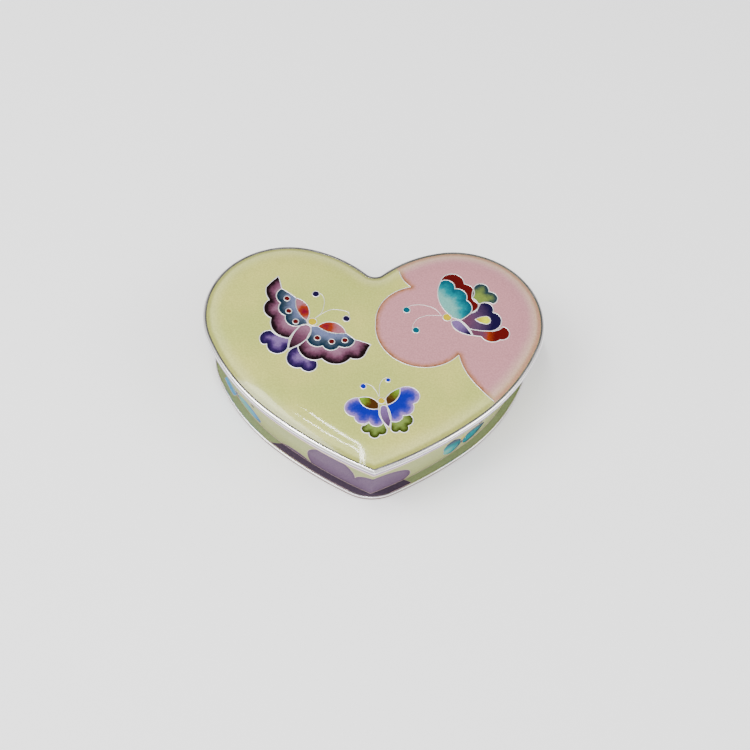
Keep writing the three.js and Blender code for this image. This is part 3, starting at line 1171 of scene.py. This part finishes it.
def makeBaseCoat():
    tip, foot = heart["sharpTip"], heart["footTip"]
    levels = [
        (0, wall["top"], tip),
        (wall["creaseOffset"], wall["crease"], tip),
        (wall["coveOffset"], wall["coveHeight"], foot),
        (wall["coveOffset"], base["coatUnder"], foot),
        (base["coatBack"], base["coatUnder"], tip),
        (base["coatBack"], wall["crease"], tip),
        (base["coatTopBack"], wall["top"], tip),
    ]
    piece = finishMesh("baseCoat", sweepHeart(levels, closed=True))
    sharpen(piece, base["coatSharpOver"])
    dress(piece, wallEnamel, "base_enamel")


def makeBasePicture():
    cutsAcross = sorted([-length for length in halfLengths[1:]] + halfLengths)
    cutsUp = gridLines(*pictures["wallGrid"])
    bm = fillCells("basePicture", wallCells, wallPoint, cutsAcross, cutsUp, step=pictures["wallStep"])
    dress(finishMesh("basePicture", bm), wallCellEnamel)
    lines = cellLines(wallCells, wallPoint, wires["wall"], wires["wallProud"], wires["step"])
    crease = [(x, y, wall["crease"]) for x, y in outline(wall["creaseOffset"] - 0.02, heart["sharpTip"])]
    lines.append((crease, True, wires["fine"]))
    sunk = wires["fineProud"] - wires["fine"]
    for points in wallFeelers:
        path = throughPoints(points, wires["step"])
        lines.append(([wallPoint(x, y, sunk) for x, y in path], False, wires["fine"]))
    dress(layWires("baseWires", lines), wallWire)


makeLidSilver()
makeLidPanel()
makeLidPicture()
makeLidWires()
print("lid done")
makeBaseSilver()
makeBaseCoat()
makeBasePicture()
print("base done")


# Floor, light and camera.

# Places and sizes are in metres here. The dark card is a patch of the world that the lid mirrors to the
# camera, so that its enamels keep their depth.
studio = {
    "floorSize": 3,
    "floorColour": (0.97, 0.97, 0.97),
    "floorShade": (0.965, 0.965, 0.968),
    "floorRoughness": 0.8,
    "floorGlow": 0.25,
    "floorGrain": 30.0,
    "world": 1.0,
    "darkCard": (0.04, 0.558, 0.829),
    "darkCardFade": (0.80, 0.95),
    "darkCardShare": 0.12,
    "aim": (0, 0, 0.02),
    "lights": {
        "key": {"place": (-0.42, -0.10, 0.55), "size": (0.35, 0.35), "power": 4.2},
        "side": {"place": (0.5, -0.15, 0.42), "size": (0.3, 0.3), "power": 1.6},
        "front": {"place": (0.05, -0.6, 0.22), "size": (0.5, 0.2), "power": 1.2},
        "stripNear": {"place": (-0.08, -0.085, 0.6), "size": (0.36, 0.010), "power": 0.9},
        "stripFar": {"place": (-0.08, -0.02, 0.6), "size": (0.36, 0.012), "power": 1.1},
    },
}


def makeFloor():
    bm = bmesh.new()
    bmesh.ops.create_grid(bm, x_segments=1, y_segments=1, size=studio["floorSize"])
    mesh = bpy.data.meshes.new("floor")
    bm.to_mesh(mesh)
    bm.free()
    floor = bpy.data.objects.new("floor", mesh)
    bpy.context.scene.collection.objects.link(floor)
    recipe = Recipe("floorPaper")
    tone = recipe.mix(recipe.noise(studio["floorGrain"]), studio["floorColour"], studio["floorShade"])
    mesh.materials.append(recipe.surface({
        "Base Color": tone,
        "Roughness": studio["floorRoughness"],
        "Emission Color": (1, 1, 1, 1),
        "Emission Strength": studio["floorGlow"],
    }))


def addLight(name, place, size, power):
    data = bpy.data.lights.new(name, "AREA")
    data.shape = "RECTANGLE"
    data.size, data.size_y = size
    data.energy = power
    light = bpy.data.objects.new(name, data)
    bpy.context.scene.collection.objects.link(light)
    light.location = place
    light.rotation_mode = "QUATERNION"
    light.rotation_quaternion = (Vector(studio["aim"]) - Vector(place)).to_track_quat("-Z", "Y")


def makeStudio():
    world = bpy.data.worlds.new("studio")
    world.use_nodes = True
    background = world.node_tree.nodes["Background"]
    background.inputs[0].default_value = (1, 1, 1, 1)
    nodes, links = world.node_tree.nodes, world.node_tree.links
    where = nodes.new("ShaderNodeTexCoord")
    facing = nodes.new("ShaderNodeVectorMath")
    facing.operation = "DOT_PRODUCT"
    facing.inputs[1].default_value = studio["darkCard"]
    links.new(where.outputs["Generated"], facing.inputs[0])
    shade = nodes.new("ShaderNodeMapRange")
    shade.interpolation_type = "SMOOTHSTEP"
    nearCard, inCard = studio["darkCardFade"]
    dark = studio["world"] * studio["darkCardShare"]
    for slot, value in (("From Min", nearCard), ("From Max", inCard), ("To Min", studio["world"]),
                        ("To Max", dark)):
        shade.inputs[slot].default_value = value
    links.new(facing.outputs["Value"], shade.inputs["Value"])
    links.new(shade.outputs[0], background.inputs[1])
    bpy.context.scene.world = world
    for name, light in studio["lights"].items():
        addLight(name, light["place"], light["size"], light["power"])


# The camera looks down at the front of the heart, rolled a little, as in the photo. Its place is in
# millimetres and its back points away from what it sees.
view = {
    "place": (-15.99, -229.13, 352.3),
    "back": (-0.04038, -0.55773, 0.82904),
    "roll": 5.09,
    "lens": 75.24,
    "sensor": 36,
    "clip": (0.01, 20),
}


def makeCamera():
    data = bpy.data.cameras.new("camera")
    data.lens = view["lens"]
    data.sensor_width = view["sensor"]
    data.sensor_fit = "HORIZONTAL"
    data.clip_start, data.clip_end = view["clip"]
    camera = bpy.data.objects.new("camera", data)
    bpy.context.scene.collection.objects.link(camera)
    back = Vector(view["back"]).normalized()
    right = Vector((0, 0, 1)).cross(back).normalized()
    up = back.cross(right)
    roll = math.radians(view["roll"])
    turnedRight = right * math.cos(roll) + up * math.sin(roll)
    turnedUp = up * math.cos(roll) - right * math.sin(roll)
    turn = Matrix((turnedRight, turnedUp, back)).transposed()
    camera.matrix_world = Matrix.Translation(Vector(view["place"]) * mm) @ turn.to_4x4()
    bpy.context.scene.camera = camera


makeFloor()
makeStudio()
makeCamera()
print("studio done")
